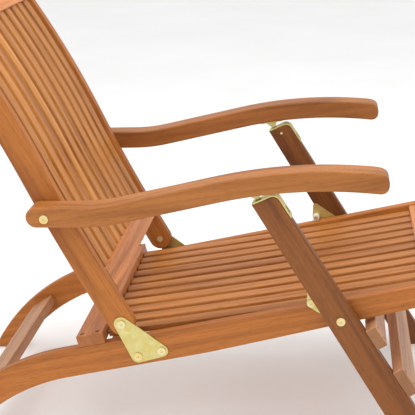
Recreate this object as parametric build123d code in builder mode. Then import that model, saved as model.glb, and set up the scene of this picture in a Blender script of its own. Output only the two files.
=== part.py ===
"""Folding wooden deck chair: a slatted seat on long curved rails, a reclining slatted back,
arms that rest on the tops of the front legs, and a front leg frame that swings under the seat.

Millimetres. +X points to the sitter's feet, +Y to the sitter's left, +Z up, and Z = 0 is the floor.
Side profiles are drawn in the XZ plane and extruded across the chair.
"""

from build123d import *
from math import atan2, cos, degrees, hypot, pi, radians, sin
import os

os.makedirs("parts", exist_ok=True)

# ---- across the chair ----
rail_outer = 254.0
board_thick = 22.0
rail_inner = rail_outer - board_thick
plate_thick = 2.5
leg_inner = 260.0
leg_outer = leg_inner + board_thick
arm_inner = 255.5
arm_width = 50.0
arm_outer = arm_inner + arm_width

# ---- seat rail, which is also the rear leg ----
rail_depth = 60.0
rail_slope = 0.2
rail_top_x, rail_top_z = -142.0, 248.0
rail_front = 548.7
rail_taper_start = 60.0
rail_taper_slope = 0.24
rail_nose = 10.0
rail_blend = 600.0
bend_x, bend_z = -150.0, -216.0

# ---- pivots ----
back_pivot = (-109.0, 290.0)
leg_pivot = (323.0, 309.0)
arm_pivot = (-228.0, 527.0)

# ---- back ----
stile_width = 52.0
stile_bend = (-258.0, 600.0)
stile_top = (-428.0, 914.0)
stile_lean = 28.2
back_slats = 10
back_slat_pitch = 44.7
back_slat_recess = 4.0

# ---- slats ----
slat_width = 28.0
slat_thick = 13.0
seat_slats = 11
seat_slat_pitch = 42.0
seat_slat_rear, seat_slat_rear_top = -144.0, 260.5
seat_slat_front, seat_slat_front_top = 483.5, 361.7
seat_slat_dip = 3.0

# ---- front legs ----
leg_lean = 29.7
leg_rear_edge = -26.0
leg_front_edge = 29.0
leg_taper = 0.0207
leg_top_rear = -285.4
leg_top_front = -280.6
leg_top_round = 14.0

# ---- arms ----
arm_height = 39.0
arm_low = 509.5
arm_rear = -244.0
arm_flat_end = -160.0
arm_rise = 12.0
arm_rear_radius = 380.0
arm_front_radius = 909.0
arm_straight_end = 100.0
arm_droop = 6.5

# ---- hardware ----
bolt_radius = 4.0
running_gap = 0.05
head_radius = 8.5
head_height = 2.5
socket_radius = 2.6
nut_height = 2.5
nut_radius = 7.0
edge_round = 3.0
slat_round = 2.0


def rail_top(x):
    """Height of the straight part of the rail's top edge."""
    return rail_top_z + (x - rail_top_x) * rail_slope


rail_angle = atan2(rail_slope, 1.0)
bend_outer = (rail_top(bend_x) - bend_z) * cos(rail_angle)
bend_inner = bend_outer - rail_depth


def bend_point(radius, angle):
    """Point on the rear bend, with the angle in degrees from the vertical towards the rear."""
    return (bend_x - radius * sin(radians(angle)), bend_z + radius * cos(radians(angle)))


def bend_foot(radius):
    """Angle at which a circle of the rear bend reaches the floor."""
    return degrees(atan2((radius**2 - bend_z**2) ** 0.5, -bend_z))


class Arc:
    """A circular arc that leaves its start with a given lean, in degrees from the vertical."""

    def __init__(self, start, end, lean):
        chord = (end[0] - start[0], end[1] - start[1])
        normal = (cos(radians(lean)), sin(radians(lean)))
        along = chord[0] * normal[0] + chord[1] * normal[1]
        self.radius = (chord[0] ** 2 + chord[1] ** 2) / (2 * along)
        self.centre = (start[0] + self.radius * normal[0], start[1] + self.radius * normal[1])
        self.start = atan2(start[1] - self.centre[1], start[0] - self.centre[0])
        turn = atan2(end[1] - self.centre[1], end[0] - self.centre[0]) - self.start
        self.turn = (turn + pi) % (2 * pi) - pi
        self.end_lean = lean + degrees(self.turn)

    def point(self, part, front):
        """Point at a fraction of the arc, moved towards the chair's front by front."""
        angle = self.start + self.turn * part
        reach = abs(self.radius) - front * (1 if self.radius > 0 else -1)
        return (self.centre[0] + reach * cos(angle), self.centre[1] + reach * sin(angle))


lower_arc = Arc(back_pivot, stile_bend, stile_lean)
upper_arc = Arc(stile_bend, stile_top, lower_arc.end_lean)


def back_point(part, front):
    """Point beside the stile's centre line: part runs 0 to 1 to the bend and 1 to 2 to the top."""
    if part <= 1:
        return lower_arc.point(part, front)
    return upper_arc.point(part - 1, front)


def leg_point(run, front):
    """Point beside the leg's centre line: run is from the pivot towards the foot."""
    lean = radians(leg_lean)
    return (
        leg_pivot[0] + run * sin(lean) + front * cos(lean),
        leg_pivot[1] - run * cos(lean) + front * sin(lean),
    )


def leg_foot(front):
    """Foot corner on the floor for an edge at a given distance in front of the centre line."""
    run = (leg_pivot[1] + front * sin(radians(leg_lean))) / cos(radians(leg_lean))
    return leg_point(run, front)


def span(side, inner, thick):
    """Sketch plane for a piece on one side of the chair, to be extruded by thick."""
    return Plane.XZ.offset(-(inner + thick)) if side > 0 else Plane.XZ.offset(inner)


def across(half):
    """Sketch plane for a piece that spans the chair, to be extruded by twice half."""
    return Plane.XZ.offset(-half)


def side_faces(piece):
    return piece.faces().filter_by(Axis.Y)


def long_edges(piece):
    """Edges that run along a slat, without those of its square-cut ends."""
    return [edge for edge in side_faces(piece).edges() if edge.length > 2 * slat_width]


def discs(plane, thick, places, radius, mode=Mode.ADD):
    """Round posts or holes of one radius, standing on a plane across the chair."""
    with BuildSketch(plane) as circles:
        with Locations(*places):
            Circle(radius)
    extrude(circles.sketch, amount=thick, mode=mode)


def holes(plane, thick, places, radius):
    """Cut round holes across the current part."""
    discs(plane, thick, places, radius, Mode.SUBTRACT)


def tilted(centre, tilt):
    """Plane through a point of the side view, its normal square to a direction tilted in degrees."""
    angle = radians(tilt)
    return Plane(
        origin=(centre[0], 0, centre[1]), x_dir=(cos(angle), 0, sin(angle)),
        z_dir=(-sin(angle), 0, cos(angle)),
    )


def bar(centre, tilt, width, thick, half, rounding=2.0):
    """A straight board across the chair: width along the tilt, thick square to it."""
    with BuildPart(tilted(centre, tilt)) as board:
        Box(width, 2 * half, thick)
        fillet(board.edges(), rounding)
    return board


def above_rail(x, height):
    """Point square above the rail's top edge."""
    return (x - height * sin(rail_angle), rail_top(x) + height * cos(rail_angle))


def save(piece, name):
    piece.part.label = name
    export_step(piece.part, f"parts/{name}.step")


sides = {"right": -1, "left": 1}

# ---- hardware that several pieces share ----
bolt_hole = bolt_radius + running_gap
screw_radius = 3.0
plate_screw_places = [(-80.0, 220.0), (-32.0, 232.0)]
plate_round = [15.0, 14.0, 13.0]


def button_bolt(side, place, head_at, tip_at, shaft, head=head_radius, nut_at=None):
    """Button-head bolt across one side: head_at is the head's seat, tip_at the shaft's end."""
    discs(span(side, tip_at, head_at - tip_at), head_at - tip_at, [place], shaft)
    discs(span(side, head_at, head_height), head_height, [place], head)
    with BuildSketch(span(side, head_at + head_height / 2, head_height)) as socket:
        with Locations(place):
            RegularPolygon(socket_radius, 6)
    extrude(socket.sketch, amount=head_height, mode=Mode.SUBTRACT)
    if nut_at is not None:
        discs(span(side, nut_at - nut_height, nut_height), nut_height, [place], nut_radius)


# ================= seat frame =================
foot_outer = bend_foot(bend_outer)
foot_inner = bend_foot(bend_inner)
bend_start = degrees(rail_angle)
taper_x = rail_taper_start
taper_z = rail_top(taper_x) - rail_depth / cos(rail_angle)
nose_low = (rail_front, taper_z + (rail_front - taper_x) * rail_taper_slope)

for name, side in sides.items():
    plane = span(side, rail_inner, board_thick)
    with BuildPart() as rail:
        with BuildSketch(plane) as profile:
            with BuildLine():
                Line(bend_point(bend_outer, bend_start), (rail_front, rail_top(rail_front)))
                Line((rail_front, rail_top(rail_front)), nose_low)
                Line(nose_low, (taper_x, taper_z))
                Line((taper_x, taper_z), bend_point(bend_inner, bend_start))
                ThreePointArc(
                    bend_point(bend_inner, bend_start),
                    bend_point(bend_inner, (bend_start + foot_inner) / 2),
                    bend_point(bend_inner, foot_inner),
                )
                Line(bend_point(bend_inner, foot_inner), bend_point(bend_outer, foot_outer))
                ThreePointArc(
                    bend_point(bend_outer, foot_outer),
                    bend_point(bend_outer, (bend_start + foot_outer) / 2),
                    bend_point(bend_outer, bend_start),
                )
            make_face()
            fillet(profile.vertices().sort_by(Axis.X)[-2:], rail_nose)
            fillet(profile.vertices().sort_by_distance((taper_x, taper_z))[0], rail_blend)
        extrude(amount=board_thick)
        fillet(side_faces(rail).edges(), edge_round)
        holes(plane, board_thick, [leg_pivot], bolt_radius)
        holes(plane, board_thick, plate_screw_places, screw_radius)
    save(rail, f"seat_rail_{name}")

# ---- cross-board lying on the rails behind the back, screwed down at both ends ----
board_width, board_height = 55.0, 24.0
board_screw_half = 16.0
screw_row = (rail_inner + rail_outer) / 2
screw_sink, screw_head = 8.0, 2.0
board_centre = above_rail(-172.5, board_height / 2 + 0.02)
board_top = tilted(board_centre, bend_start).offset(board_height / 2)
with BuildPart(tilted(board_centre, bend_start)) as rear_cross_board:
    Box(board_width, 2 * rail_outer, board_height)
    fillet(rear_cross_board.edges(), 2.0)
    with BuildSketch(board_top):
        with GridLocations(2 * board_screw_half, 2 * screw_row, 2, 2):
            Circle(4.2)
    extrude(amount=-screw_sink, mode=Mode.SUBTRACT)
    with BuildSketch(board_top):
        with GridLocations(2 * board_screw_half, 2 * screw_row, 2, 2):
            Circle(screw_radius)
    extrude(amount=-board_height, mode=Mode.SUBTRACT)
save(rear_cross_board, "rear_cross_board")

with BuildPart() as rear_board_screws:
    with BuildSketch(board_top.offset(screw_head - screw_sink)):
        with GridLocations(2 * board_screw_half, 2 * screw_row, 2, 2):
            Circle(4.1)
    extrude(amount=-screw_head)
    with BuildSketch(board_top.offset(-screw_sink)):
        with GridLocations(2 * board_screw_half, 2 * screw_row, 2, 2):
            Circle(screw_radius)
    extrude(amount=screw_sink - board_height - 18.0)
save(rear_board_screws, "rear_board_screws")

front_cross_rail = bar(above_rail(510.0, -15.0), bend_start, 58.0, 24.0, rail_inner)
save(front_cross_rail, "front_cross_rail")

rear_stretcher = bar((-408.9, 120.4), 31.0, 57.0, 20.0, rail_inner)
save(rear_stretcher, "rear_stretcher")


def slat_top(x):
    """Height of the seat slats' top on their shallow dip."""
    part = (x - seat_slat_rear) / (seat_slat_front - seat_slat_rear)
    rise = seat_slat_rear_top + (seat_slat_front_top - seat_slat_rear_top) * part
    return rise - 4 * seat_slat_dip * part * (1 - part)


seat_slat_stations = (seat_slat_rear, (seat_slat_rear + seat_slat_front) / 2, seat_slat_front)


def slat_point(x, depth):
    """Point of a seat slat's side view, a depth square below its top."""
    return (x + depth * sin(rail_angle), slat_top(x) - depth * cos(rail_angle))


for index in range(seat_slats):
    middle_y = (index - (seat_slats - 1) / 2) * seat_slat_pitch
    with BuildPart() as slat:
        with BuildSketch(Plane.XZ.offset(-(middle_y + slat_width / 2))):
            with BuildLine():
                Spline(*[slat_point(x, 0) for x in seat_slat_stations])
                Line(slat_point(seat_slat_front, 0), slat_point(seat_slat_front, slat_thick))
                Spline(*[slat_point(x, slat_thick) for x in seat_slat_stations])
                Line(slat_point(seat_slat_rear, slat_thick), slat_point(seat_slat_rear, 0))
            make_face()
        extrude(amount=slat_width)
        fillet(long_edges(slat), slat_round)
    save(slat, f"seat_slat_{index + 1:02d}")

batten_width, batten_height, batten_gap = 40.0, 20.0, 0.05
for name, x in (("rear", -118.5), ("middle", 167.5)):
    tilt = atan2(slat_top(x + 10) - slat_top(x - 10), 20)
    depth = slat_thick + batten_gap + batten_height / 2
    centre = (x + depth * sin(tilt), slat_top(x) - depth * cos(tilt))
    batten = bar(centre, degrees(tilt), batten_width, batten_height, rail_inner)
    save(batten, f"seat_batten_{name}")

for name, side in sides.items():
    plane = span(side, rail_outer, plate_thick)
    with BuildPart() as hinge_plate:
        with BuildSketch(plane):
            for place, radius in zip([back_pivot] + plate_screw_places, plate_round):
                with Locations(place):
                    Circle(radius)
            make_hull()
        extrude(amount=plate_thick)
        fillet(side_faces(hinge_plate).edges(), 0.6)
        holes(plane, plate_thick, [back_pivot], bolt_hole)
        holes(plane, plate_thick, plate_screw_places, screw_radius)
    save(hinge_plate, f"hinge_plate_{name}")

with BuildPart() as hinge_plate_screws:
    for side in sides.values():
        for place in plate_screw_places:
            button_bolt(side, place, rail_outer + plate_thick, rail_inner + 4.0, screw_radius)
save(hinge_plate_screws, "hinge_plate_screws")

with BuildPart() as leg_pivot_bolts:
    for side in sides.values():
        button_bolt(side, leg_pivot, leg_outer, rail_inner, bolt_radius, nut_at=rail_inner)
save(leg_pivot_bolts, "leg_pivot_bolts")

stop_plate_thick = 3.0
washer_thick = leg_inner - stop_plate_thick - rail_outer
with BuildPart() as pivot_washers:
    for side in sides.values():
        plane = span(side, rail_outer, washer_thick)
        discs(plane, washer_thick, [leg_pivot], 10.0)
        holes(plane, washer_thick, [leg_pivot], bolt_radius)
save(pivot_washers, "pivot_washers")

# ================= back =================
with BuildPart() as back_pivot_bolts:
    for side in sides.values():
        button_bolt(
            side, back_pivot, rail_outer + plate_thick, rail_inner, bolt_radius, nut_at=rail_inner
        )
save(back_pivot_bolts, "back_pivot_bolts")


def arc_between(low, high, front):
    """Edge of the back that runs up from part low to part high at a distance from the centre line."""
    ThreePointArc(
        back_point(low, front), back_point((low + high) / 2, front), back_point(high, front)
    )


half_stile = stile_width / 2
stile_crown = 2 + half_stile / hypot(stile_top[0] - stile_bend[0], stile_top[1] - stile_bend[1])
for name, side in sides.items():
    plane = span(side, rail_inner, board_thick)
    with BuildPart() as stile:
        with BuildSketch(plane):
            with BuildLine():
                arc_between(0, 1, half_stile)
                arc_between(1, 2, half_stile)
                ThreePointArc(
                    back_point(2, half_stile), back_point(stile_crown, 0), back_point(2, -half_stile)
                )
                arc_between(1, 2, -half_stile)
                arc_between(0, 1, -half_stile)
                heel = (
                    back_pivot[0] + half_stile * sin(radians(stile_lean)),
                    back_pivot[1] - half_stile * cos(radians(stile_lean)),
                )
                ThreePointArc(back_point(0, -half_stile), heel, back_point(0, half_stile))
            make_face()
        extrude(amount=board_thick)
        fillet(side_faces(stile).edges(), edge_round)
        holes(plane, board_thick, [back_pivot, arm_pivot], bolt_hole)
    save(stile, f"back_stile_{name}")

back_rail_thick = 22.0
lower_rail_from, lower_rail_to = 0.175, 0.318
top_rail_from, top_rail_to = 1.80, 1.97


def back_board(name, low, high, front, thick, half):
    """Board across the back that follows its curve between two parts of the centre line."""
    with BuildPart() as board:
        with BuildSketch(across(half)):
            with BuildLine():
                arc_between(low, high, front)
                Line(back_point(high, front), back_point(high, front - thick))
                arc_between(low, high, front - thick)
                Line(back_point(low, front - thick), back_point(low, front))
            make_face()
        extrude(amount=2 * half)
        fillet(board.edges().filter_by(Axis.Y), slat_round)
    save(board, name)


back_board("back_lower_rail", lower_rail_from, lower_rail_to, half_stile, back_rail_thick, rail_inner)
back_board("back_top_rail", top_rail_from, top_rail_to, half_stile, back_rail_thick, rail_inner)

slat_front = half_stile - back_slat_recess
back_batten_part = 0.93
back_batten_front = slat_front - slat_thick - batten_gap - batten_height / 2
back_batten = bar(
    back_point(back_batten_part, back_batten_front),
    90 + stile_lean + (lower_arc.end_lean - stile_lean) * back_batten_part,
    45.0, batten_height, rail_inner,
)
save(back_batten, "back_batten")
for index in range(back_slats):
    middle_y = (index - (back_slats - 1) / 2) * back_slat_pitch
    with BuildPart() as slat:
        with BuildSketch(Plane.XZ.offset(-(middle_y + slat_width / 2))):
            with BuildLine():
                arc_between(lower_rail_to, 1, slat_front)
                arc_between(1, top_rail_from, slat_front)
                Line(
                    back_point(top_rail_from, slat_front),
                    back_point(top_rail_from, slat_front - slat_thick),
                )
                arc_between(1, top_rail_from, slat_front - slat_thick)
                arc_between(lower_rail_to, 1, slat_front - slat_thick)
                Line(
                    back_point(lower_rail_to, slat_front - slat_thick),
                    back_point(lower_rail_to, slat_front),
                )
            make_face()
        extrude(amount=slat_width)
        fillet(long_edges(slat), slat_round)
    save(slat, f"back_slat_{index + 1:02d}")

# ================= arms =================
rise = radians(arm_rise)
droop = radians(arm_droop)
arm_top = arm_low + arm_height
rear_centre_z = arm_low + arm_rear_radius
rear_turn_end = (arm_flat_end + arm_rear_radius * sin(rise), rear_centre_z - arm_rear_radius * cos(rise))
straight_end = (
    arm_straight_end, rear_turn_end[1] + (arm_straight_end - rear_turn_end[0]) * sin(rise) / cos(rise)
)
front_centre = (
    straight_end[0] + arm_front_radius * sin(rise), straight_end[1] - arm_front_radius * cos(rise)
)
top_radius = arm_front_radius + arm_height
tip_x, tip_z = 411.0, 592.0


def arm_arc(radius, angle):
    """Point on the arm's front bend, with the angle in radians from the vertical, forward positive."""
    return (front_centre[0] + radius * sin(angle), front_centre[1] + radius * cos(angle))


def arm_under(x):
    """Height of the arm's underside on its front bend."""
    return front_centre[1] + (arm_front_radius**2 - (x - front_centre[0]) ** 2) ** 0.5


nose_start = radians(4.5)
rear_top_radius = arm_rear_radius - arm_height
for name, side in sides.items():
    plane = span(side, arm_inner, arm_width)
    with BuildPart() as arm:
        with BuildSketch(plane):
            with BuildLine():
                Line((arm_rear, arm_low), (arm_flat_end, arm_low))
                ThreePointArc(
                    (arm_flat_end, arm_low),
                    (arm_flat_end + arm_rear_radius * sin(rise / 2),
                     rear_centre_z - arm_rear_radius * cos(rise / 2)),
                    rear_turn_end,
                )
                Line(rear_turn_end, straight_end)
                ThreePointArc(
                    straight_end,
                    arm_arc(arm_front_radius, (droop - rise) / 2),
                    arm_arc(arm_front_radius, droop),
                )
                Spline(
                    arm_arc(arm_front_radius, droop), (tip_x, tip_z), arm_arc(top_radius, nose_start),
                    tangents=[(cos(droop), -sin(droop)), (-cos(nose_start), sin(nose_start))],
                )
                ThreePointArc(
                    arm_arc(top_radius, nose_start),
                    arm_arc(top_radius, (nose_start - rise) / 2),
                    arm_arc(top_radius, -rise),
                )
                rear_top_end = (
                    arm_flat_end + rear_top_radius * sin(rise), rear_centre_z - rear_top_radius * cos(rise)
                )
                Line(arm_arc(top_radius, -rise), rear_top_end)
                ThreePointArc(
                    rear_top_end,
                    (arm_flat_end + rear_top_radius * sin(rise / 2),
                     rear_centre_z - rear_top_radius * cos(rise / 2)),
                    (arm_flat_end, arm_top),
                )
                Line((arm_flat_end, arm_top), (arm_rear, arm_top))
                ThreePointArc(
                    (arm_rear, arm_top),
                    (arm_rear - arm_height / 2, arm_low + arm_height / 2),
                    (arm_rear, arm_low),
                )
            make_face()
        extrude(amount=arm_width)
        fillet(side_faces(arm).edges(), 4.0)
        holes(plane, arm_width, [arm_pivot], bolt_hole)
    save(arm, f"arm_{name}")

    with BuildPart() as arm_bolt:
        button_bolt(side, arm_pivot, arm_outer, rail_inner, bolt_radius, nut_at=rail_inner)
    save(arm_bolt, f"arm_bolt_{name}")

catch_middle_y = (leg_inner + leg_outer) / 2
catch_from, catch_to, catch_plate_thick = 140.0, 190.0, 2.5
catch_width, tab_width = 16.0, 4.0
catch_gap = 0.05


def catch_line(x, depth):
    """Point under the straight line that joins the arm's underside at the catch's two ends."""
    rear, front = arm_under(catch_from), arm_under(catch_to)
    return (x, rear + (front - rear) * (x - catch_from) / (catch_to - catch_from) - catch_gap - depth)


for name, side in sides.items():
    with BuildPart() as catch:
        with BuildSketch(span(side, catch_middle_y - catch_width / 2, catch_width)):
            with BuildLine():
                Polyline(
                    catch_line(catch_from, 0), catch_line(catch_to, 0),
                    catch_line(catch_to, catch_plate_thick), catch_line(catch_from, catch_plate_thick),
                    close=True,
                )
            make_face()
        extrude(amount=catch_width)
        with BuildSketch(span(side, catch_middle_y - tab_width / 2, tab_width)):
            with BuildLine():
                Polyline(catch_line(150, 1), catch_line(178, 1), (173.0, 554.6), (166.0, 551.4), close=True)
            make_face()
        extrude(amount=tab_width)
    save(catch, f"arm_catch_{name}")

# ================= front leg frame =================
def leg_front(run):
    """Distance of the leg's front edge from its centre line."""
    return leg_front_edge + leg_taper * run


foot_run = leg_pivot[1] / cos(radians(leg_lean))
strap_pin_place = leg_point(-268.0, -3.0)
strap_pin_in, strap_pin_proud = 12.0, 1.0
for name, side in sides.items():
    plane = span(side, leg_inner, board_thick)
    with BuildPart() as leg:
        with BuildSketch(plane) as profile:
            with BuildLine():
                Polyline(
                    leg_foot(leg_rear_edge), leg_point(leg_top_rear, leg_rear_edge),
                    leg_point(leg_top_front, leg_front(leg_top_front)), leg_foot(leg_front(foot_run + 20)),
                    close=True,
                )
            make_face()
            top_front = profile.vertices().sort_by_distance(
                leg_point(leg_top_front, leg_front(leg_top_front))
            )[0]
            fillet(top_front, leg_top_round)
        extrude(amount=board_thick)
        fillet(side_faces(leg).edges().filter_by_position(Axis.Z, 1, 2000), edge_round)
        holes(plane, board_thick, [leg_pivot], bolt_hole)
        holes(span(side, leg_inner, strap_pin_in), strap_pin_in, [strap_pin_place], screw_radius)
    save(leg, f"front_leg_{name}")


# ---- boards across the front edges of the legs ----
leg_board_thick = 22.0
leg_boards = {"stop_board": (64.5, 46.0, 24.0), "lower_stretcher": (175.5, 61.0, 32.0)}
leg_board_tilt = leg_lean - 90 + degrees(leg_taper)
leg_screw_sink = 3.0
for name, (run, width, screw_pitch) in leg_boards.items():
    plane = tilted(leg_point(run, leg_front(run) + leg_board_thick / 2 + 0.05), leg_board_tilt)
    face = plane.offset(leg_board_thick / 2)
    with BuildPart(plane) as board:
        Box(width, 2 * leg_outer, leg_board_thick)
        fillet(board.edges(), 2.0)
        with BuildSketch(face):
            with GridLocations(screw_pitch, leg_inner + leg_outer, 2, 2):
                Circle(4.2)
        extrude(amount=-leg_screw_sink, mode=Mode.SUBTRACT)
        with BuildSketch(face):
            with GridLocations(screw_pitch, leg_inner + leg_outer, 2, 2):
                Circle(screw_radius)
        extrude(amount=-leg_board_thick, mode=Mode.SUBTRACT)
    save(board, name)

with BuildPart() as leg_board_screws:
    for run, width, screw_pitch in leg_boards.values():
        plane = tilted(leg_point(run, leg_front(run) + leg_board_thick / 2 + 0.05), leg_board_tilt)
        face = plane.offset(leg_board_thick / 2)
        with BuildSketch(face.offset(screw_head - leg_screw_sink)):
            with GridLocations(screw_pitch, leg_inner + leg_outer, 2, 2):
                Circle(4.1)
        extrude(amount=-screw_head)
        with BuildSketch(face.offset(-leg_screw_sink)):
            with GridLocations(screw_pitch, leg_inner + leg_outer, 2, 2):
                Circle(screw_radius)
        extrude(amount=leg_screw_sink - leg_board_thick - 18.0)
save(leg_board_screws, "leg_board_screws")

strap_thick, strap_gap = 2.5, 0.05
strap_round = 14.0
strap_slot_width = 9.0
strap_rear, strap_low = -23.0, -228.0
slope_top = (leg_top_front - leg_top_rear) / (leg_front(leg_top_front) - leg_rear_edge)


def strap_line(depth):
    """The strap's bend in the side view, a depth outside the leg's top and front edges."""
    top = leg_top_rear + slope_top * (strap_rear - leg_rear_edge) - depth
    corner = (leg_top_front - depth, leg_front(leg_top_front) + depth)
    return [
        leg_point(top, strap_rear), leg_point(*corner), leg_point(strap_low, leg_front(strap_low) + depth)
    ]


for name, side in sides.items():
    inner, outer = strap_line(strap_gap), strap_line(strap_gap + strap_thick)
    with BuildPart() as strap:
        with BuildSketch(span(side, leg_inner, board_thick)):
            with BuildLine():
                FilletPolyline(*inner, radius=strap_round)
                FilletPolyline(*outer, radius=strap_round + strap_thick)
                Line(inner[0], outer[0])
                Line(inner[2], outer[2])
            make_face()
        extrude(amount=board_thick)
        slot_plane = span(side, catch_middle_y - strap_slot_width / 2, strap_slot_width)
        with BuildSketch(slot_plane):
            with Locations(Location(leg_point(-286.0, -11.5), leg_lean)):
                Rectangle(13.0, 12.0)
            with Locations(Location(leg_point(-242.5, 26.0), leg_lean)):
                Rectangle(12.0, 15.0)
        extrude(amount=strap_slot_width, mode=Mode.SUBTRACT)
    save(strap, f"leg_strap_{name}")

with BuildPart() as strap_pins:
    for side in sides.values():
        pin_length = strap_pin_in + strap_pin_proud
        plane = span(side, leg_inner - strap_pin_proud, pin_length)
        discs(plane, pin_length, [strap_pin_place], screw_radius)
save(strap_pins, "strap_pins")

sleeve_radius, sleeve_gap, sleeve_bore = 7.5, 0.4, 3.05
stop_place = above_rail(268.0, sleeve_radius + sleeve_gap)
for name, side in sides.items():
    plane = span(side, leg_inner - stop_plate_thick, stop_plate_thick)
    with BuildPart() as stop_plate:
        with BuildSketch(plane):
            with Locations(leg_pivot):
                Circle(16.0)
            with Locations(stop_place):
                Circle(9.0)
            with Locations(leg_point(-75.0, -24.0)):
                Circle(6.0)
            make_hull()
        extrude(amount=stop_plate_thick)
        holes(plane, stop_plate_thick, [leg_pivot], bolt_hole)
        holes(plane, stop_plate_thick, [stop_place], screw_radius)
    save(stop_plate, f"stop_plate_{name}")

stop_tip, sleeve_from, sleeve_to = 236.5, 239.5, 256.5
with BuildPart() as stop_bolts:
    for side in sides.values():
        button_bolt(side, stop_place, leg_inner, stop_tip, screw_radius, head=8.0)
        discs(span(side, stop_tip, 2.5), 2.5, [stop_place], 5.0)
save(stop_bolts, "stop_bolts")

with BuildPart() as stop_sleeves:
    for side in sides.values():
        plane = span(side, sleeve_from, sleeve_to - sleeve_from)
        discs(plane, sleeve_to - sleeve_from, [stop_place], sleeve_radius)
        holes(plane, sleeve_to - sleeve_from, [stop_place], sleeve_bore)
save(stop_sleeves, "stop_sleeves")
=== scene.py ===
"""Folding deck chair: procedural oiled wood, yellow-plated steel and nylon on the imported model."""

import random
from math import cos, radians, sin

import bpy
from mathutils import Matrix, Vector

# ---- camera and light ----
CAMERA_PLACE = (0.318, -2.1207, 1.1567)
CAMERA_TURN = (69.717, 1.847, 4.473)
CAMERA_LENS, CAMERA_SENSOR = 91.3, 36
CAMERA_SHIFT = (-0.10, 0.08)
WORLD_STRENGTH = 0.95
OVERHEAD_SIZE, OVERHEAD_POWER = 2.6, 56
FILL_SIZE, FILL_POWER = 1.8, 16
FLOOR_SIZE, FLOOR_DROP = 30, 0.0006

# ---- grain angles in the side view, in degrees from X towards Z ----
RAIL_ANGLE, SEAT_ANGLE, BACK_ANGLE, ARM_ANGLE, LEG_ANGLE = 11.3, 9.1, 117.5, 8.0, -60.3

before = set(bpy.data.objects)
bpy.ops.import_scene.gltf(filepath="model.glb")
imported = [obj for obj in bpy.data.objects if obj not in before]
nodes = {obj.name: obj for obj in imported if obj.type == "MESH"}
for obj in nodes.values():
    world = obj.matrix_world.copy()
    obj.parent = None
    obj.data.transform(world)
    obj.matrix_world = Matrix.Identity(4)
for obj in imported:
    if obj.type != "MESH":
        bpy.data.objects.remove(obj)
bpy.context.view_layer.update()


def linear(red, green, blue):
    """Scene colour from an 0-255 display colour."""
    def channel(value):
        value = value / 255
        return value / 12.92 if value <= 0.04045 else ((value + 0.055) / 1.055) ** 2.4

    return (channel(red), channel(green), channel(blue), 1.0)


def shaded(colour, factor):
    return tuple(min(1.0, part * factor) for part in colour[:3]) + (1.0,)


class Graph:
    """A material's node tree with short calls for the nodes used here."""

    def __init__(self, name):
        self.material = bpy.data.materials.new(name)
        self.material.use_nodes = True
        self.tree = self.material.node_tree
        self.shader = self.tree.nodes["Principled BSDF"]

    def link(self, source, target):
        self.tree.links.new(source, target)

    def node(self, kind, **settings):
        made = self.tree.nodes.new(kind)
        for name, value in settings.items():
            setattr(made, name, value)
        return made

    def mapped(self, source, scale=(1, 1, 1), turn=(0, 0, 0), move=(0, 0, 0)):
        made = self.node("ShaderNodeMapping")
        made.inputs["Scale"].default_value = scale
        made.inputs["Rotation"].default_value = turn
        made.inputs["Location"].default_value = move
        self.link(source, made.inputs["Vector"])
        return made.outputs["Vector"]

    def noise(self, vector, scale=1.0, detail=3.0, roughness=0.5, distortion=0.0):
        made = self.node("ShaderNodeTexNoise")
        made.inputs["Scale"].default_value = scale
        made.inputs["Detail"].default_value = detail
        made.inputs["Roughness"].default_value = roughness
        made.inputs["Distortion"].default_value = distortion
        self.link(vector, made.inputs["Vector"])
        return made.outputs["Fac"]

    def ramp(self, source, *stops):
        made = self.node("ShaderNodeValToRGB")
        elements = made.color_ramp.elements
        while len(elements) < len(stops):
            elements.new(0.5)
        for element, (place, colour) in zip(elements, stops):
            element.position = place
            element.color = colour
        self.link(source, made.inputs["Fac"])
        return made.outputs["Color"]

    def span(self, source, low, high, to_low, to_high):
        made = self.node("ShaderNodeMapRange")
        for name, value in (("From Min", low), ("From Max", high), ("To Min", to_low), ("To Max", to_high)):
            made.inputs[name].default_value = value
        self.link(source, made.inputs["Value"])
        return made.outputs["Result"]

    def mix(self, factor, first, second, blend="MIX"):
        made = self.node("ShaderNodeMix", data_type="RGBA", blend_type=blend)
        if isinstance(factor, float):
            made.inputs[0].default_value = factor
        else:
            self.link(factor, made.inputs[0])
        for socket, value in ((made.inputs[6], first), (made.inputs[7], second)):
            if isinstance(value, tuple):
                socket.default_value = value
            else:
                self.link(value, socket)
        return made.outputs[2]

    def bump(self, height, strength, distance):
        made = self.node("ShaderNodeBump")
        made.inputs["Strength"].default_value = strength
        made.inputs["Distance"].default_value = distance
        self.link(height, made.inputs["Height"])
        self.link(made.outputs["Normal"], self.shader.inputs["Normal"])


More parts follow.
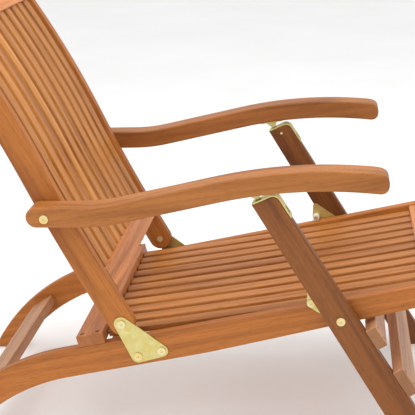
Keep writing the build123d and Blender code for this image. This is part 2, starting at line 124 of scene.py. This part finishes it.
def wood(name, colour, axis, turn, seed):
    """Oiled hardwood whose grain runs along axis; turn brings that axis onto X."""
    chance = random.Random(seed)
    graph = Graph(name)
    place = graph.node("ShaderNodeTexCoord")
    along = graph.mapped(place.outputs["Object"], turn=turn)
    away = tuple(chance.uniform(-20, 20) for _ in range(3))
    tone = chance.uniform(0.90, 1.10)
    base = shaded(colour, tone)
    warm = chance.uniform(0.94, 1.05)
    light = (min(1.0, base[0] * 1.22), min(1.0, base[1] * 1.24 * warm), min(1.0, base[2] * 1.25), 1.0)
    dark = (base[0] * 0.62, base[1] * 0.54 * warm, base[2] * 0.46, 1.0)

    figure = graph.noise(graph.mapped(along, (1.7, 26, 26), move=away), 1.0, 4.0, 0.55, 0.9)
    rings = graph.noise(graph.mapped(along, (0.9, 75, 75), move=away), 1.0, 2.0, 0.5, 0.5)
    fibre = graph.noise(graph.mapped(along, (9, 620, 620), move=away), 1.0, 3.0, 0.6)
    pores = graph.noise(graph.mapped(along, (42, 1100, 1100), move=away), 1.0, 1.0, 0.5)
    stain = graph.noise(graph.mapped(along, (2.5, 7, 7), move=away), 1.0, 2.0, 0.5)

    tint = graph.ramp(figure, (0.28, dark), (0.48, base), (0.72, light))
    ringed = graph.ramp(rings, (0.36, (0.80, 0.76, 0.70, 1)), (0.55, (1, 1, 1, 1)))
    tint = graph.mix(0.75, tint, ringed, "MULTIPLY")
    fine = graph.ramp(fibre, (0.3, (0.80, 0.77, 0.73, 1)), (0.62, (1.0, 1.0, 1.0, 1)))
    tint = graph.mix(0.8, tint, fine, "MULTIPLY")
    pitted = graph.ramp(pores, (0.28, (0.42, 0.34, 0.27, 1)), (0.40, (1, 1, 1, 1)))
    tint = graph.mix(0.7, tint, pitted, "MULTIPLY")
    blotch = graph.ramp(stain, (0.35, (0.90, 0.86, 0.82, 1)), (0.65, (1.0, 1.0, 1.0, 1)))
    tint = graph.mix(0.7, tint, blotch, "MULTIPLY")

    facing = graph.node("ShaderNodeVectorMath", operation="DOT_PRODUCT")
    graph.link(place.outputs["Normal"], facing.inputs[0])
    facing.inputs[1].default_value = axis
    size = graph.node("ShaderNodeMath", operation="ABSOLUTE")
    graph.link(facing.outputs["Value"], size.inputs[0])
    end = graph.span(size.outputs[0], 0.75, 0.97, 0.0, 0.75)
    tint = graph.mix(end, tint, shaded(dark, 0.75))
    graph.link(tint, graph.shader.inputs["Base Color"])
    graph.link(graph.span(fibre, 0.25, 0.75, 0.62, 0.42), graph.shader.inputs["Roughness"])
    graph.shader.inputs["Specular IOR Level"].default_value = 0.3
    graph.shader.inputs["Coat Weight"].default_value = 0.06
    graph.shader.inputs["Coat Roughness"].default_value = 0.35
    graph.bump(fibre, 0.35, 0.0004)
    return graph.material


def plated(name, colour, turn, seed, rough=0.34):
    """Yellow-passivated steel sheet: cloudy tint, rolling marks and fine scratches."""
    chance = random.Random(seed)
    graph = Graph(name)
    place = graph.node("ShaderNodeTexCoord").outputs["Object"]
    away = tuple(chance.uniform(-20, 20) for _ in range(3))
    cloud = graph.noise(graph.mapped(place, (60, 60, 60), move=away), 1.0, 3.0, 0.6, 0.6)
    brushed = graph.noise(graph.mapped(graph.mapped(place, turn=turn), (40, 2200, 2200), move=away), 1.0, 2.0)
    scratch = graph.noise(graph.mapped(place, (300, 90, 1400), (0, 0.5, 0.3), away), 1.0, 2.0)
    warm = (colour[0] * 1.04, colour[1] * 0.88, colour[2] * 0.60, 1.0)
    pale = (min(1.0, colour[0] * 1.10), min(1.0, colour[1] * 1.12), min(1.0, colour[2] * 1.35), 1.0)
    tint = graph.ramp(cloud, (0.30, warm), (0.50, colour), (0.72, pale))
    lines = graph.ramp(brushed, (0.3, (0.82, 0.82, 0.80, 1)), (0.65, (1, 1, 1, 1)))
    tint = graph.mix(0.7, tint, lines, "MULTIPLY")
    graph.link(tint, graph.shader.inputs["Base Color"])
    graph.shader.inputs["Metallic"].default_value = 0.75
    graph.link(graph.span(brushed, 0.2, 0.8, rough - 0.08, rough + 0.14), graph.shader.inputs["Roughness"])
    graph.bump(scratch, 0.18, 0.0002)
    return graph.material


def nylon(name):
    """White moulded nylon with a faint yellowing and a fine matt skin."""
    graph = Graph(name)
    place = graph.node("ShaderNodeTexCoord").outputs["Object"]
    cloud = graph.noise(graph.mapped(place, (90, 90, 90)), 1.0, 2.0)
    skin = graph.noise(graph.mapped(place, (1800, 1800, 1800)), 1.0, 2.0)
    tint = graph.ramp(cloud, (0.3, linear(222, 218, 205)), (0.7, linear(240, 239, 233)))
    graph.link(tint, graph.shader.inputs["Base Color"])
    graph.link(graph.span(skin, 0.2, 0.8, 0.40, 0.55), graph.shader.inputs["Roughness"])
    graph.shader.inputs["Subsurface Weight"].default_value = 0.08
    graph.shader.inputs["Subsurface Scale"].default_value = 0.002
    graph.bump(skin, 0.2, 0.0001)
    return graph.material


def in_side_view(angle):
    """Grain axis and turn for a board that lies at an angle from X towards Z, in degrees."""
    axis = (cos(radians(angle)), 0.0, sin(radians(angle)))
    return axis, (0.0, radians(angle), 0.0)


across = ((0.0, 1.0, 0.0), (0.0, 0.0, radians(-90)))

side_wood = linear(176, 106, 42)
slat_wood = linear(197, 130, 62)
seat_wood = linear(185, 119, 57)
arm_wood = linear(166, 104, 47)
leg_wood = linear(129, 76, 31)
board_wood = linear(205, 132, 76)
lower_wood = linear(180, 130, 92)
plate_tint = linear(206, 194, 126)
bolt_tint = linear(222, 206, 152)

grains = (
    ("seat_rail", side_wood, in_side_view(RAIL_ANGLE)),
    ("seat_slat", seat_wood, in_side_view(SEAT_ANGLE)),
    ("seat_batten", board_wood, across),
    ("rear_cross_board", board_wood, across),
    ("front_cross_rail", board_wood, across),
    ("rear_stretcher", lower_wood, across),
    ("back_stile", side_wood, in_side_view(BACK_ANGLE)),
    ("back_slat", slat_wood, in_side_view(BACK_ANGLE)),
    ("back_top_rail", board_wood, across),
    ("back_lower_rail", board_wood, across),
    ("back_batten", board_wood, across),
    ("arm_left", arm_wood, in_side_view(ARM_ANGLE)),
    ("arm_right", arm_wood, in_side_view(ARM_ANGLE)),
    ("front_leg", leg_wood, in_side_view(LEG_ANGLE)),
    ("stop_board", lower_wood, across),
    ("lower_stretcher", lower_wood, across),
)
sheets = ("hinge_plate_left", "hinge_plate_right", "stop_plate", "leg_strap", "arm_catch", "pivot_washers")

for index, name in enumerate(sorted(nodes)):
    found = [grain for grain in grains if name.startswith(grain[0])]
    if found:
        _, colour, (axis, turn) = found[0]
        material = wood(f"wood_{name}", colour, axis, turn, 100 + index)
    elif name == "stop_sleeves":
        material = nylon("white_nylon")
    elif name.startswith(sheets):
        material = plated(f"plated_{name}", plate_tint, (0, 0.4, 0), 300 + index)
    else:
        material = plated(f"bolt_{name}", bolt_tint, (0, 1.1, 0), 500 + index, 0.28)
    mesh = nodes[name].data
    mesh.materials.clear()
    mesh.materials.append(material)

# ---- floor, lamps and camera ----
floor_graph = Graph("pale_floor")
floor_place = floor_graph.node("ShaderNodeTexCoord").outputs["Object"]
floor_cloud = floor_graph.noise(floor_graph.mapped(floor_place, (1.4, 1.4, 1.4)), 1.0, 3.0)
floor_tint = floor_graph.ramp(floor_cloud, (0.3, linear(243, 243, 242)), (0.7, linear(248, 248, 248)))
floor_graph.link(floor_tint, floor_graph.shader.inputs["Base Color"])
floor_graph.shader.inputs["Roughness"].default_value = 0.85
bpy.ops.mesh.primitive_plane_add(size=FLOOR_SIZE, location=(0, 4, -FLOOR_DROP))
floor = bpy.context.object
floor.name = "floor"
floor.data.materials.append(floor_graph.material)

world = bpy.data.worlds.new("studio")
bpy.context.scene.world = world
world.use_nodes = True
world.node_tree.nodes["Background"].inputs["Color"].default_value = (1, 1, 1, 1)
world.node_tree.nodes["Background"].inputs["Strength"].default_value = WORLD_STRENGTH


def softbox(name, place, target, size, power):
    lamp = bpy.data.lights.new(name, "AREA")
    lamp.shape = "SQUARE"
    lamp.size = size
    lamp.energy = power
    stand = bpy.data.objects.new(name, lamp)
    stand.location = place
    stand.rotation_euler = (Vector(target) - Vector(place)).to_track_quat("-Z", "Y").to_euler()
    bpy.context.scene.collection.objects.link(stand)


softbox("overhead", (0.2, -0.2, 3.2), (0, 0, 0.3), OVERHEAD_SIZE, OVERHEAD_POWER)
softbox("front_fill", (-1.4, -2.6, 2.0), (0, 0, 0.4), FILL_SIZE, FILL_POWER)

lens = bpy.data.cameras.new("view")
lens.lens = CAMERA_LENS
lens.sensor_width = CAMERA_SENSOR
lens.shift_x, lens.shift_y = CAMERA_SHIFT
camera = bpy.data.objects.new("view", lens)
camera.location = CAMERA_PLACE
camera.rotation_euler = [radians(turn) for turn in CAMERA_TURN]
bpy.context.scene.collection.objects.link(camera)
bpy.context.scene.camera = camera
bpy.context.scene.view_settings.view_transform = "Standard"
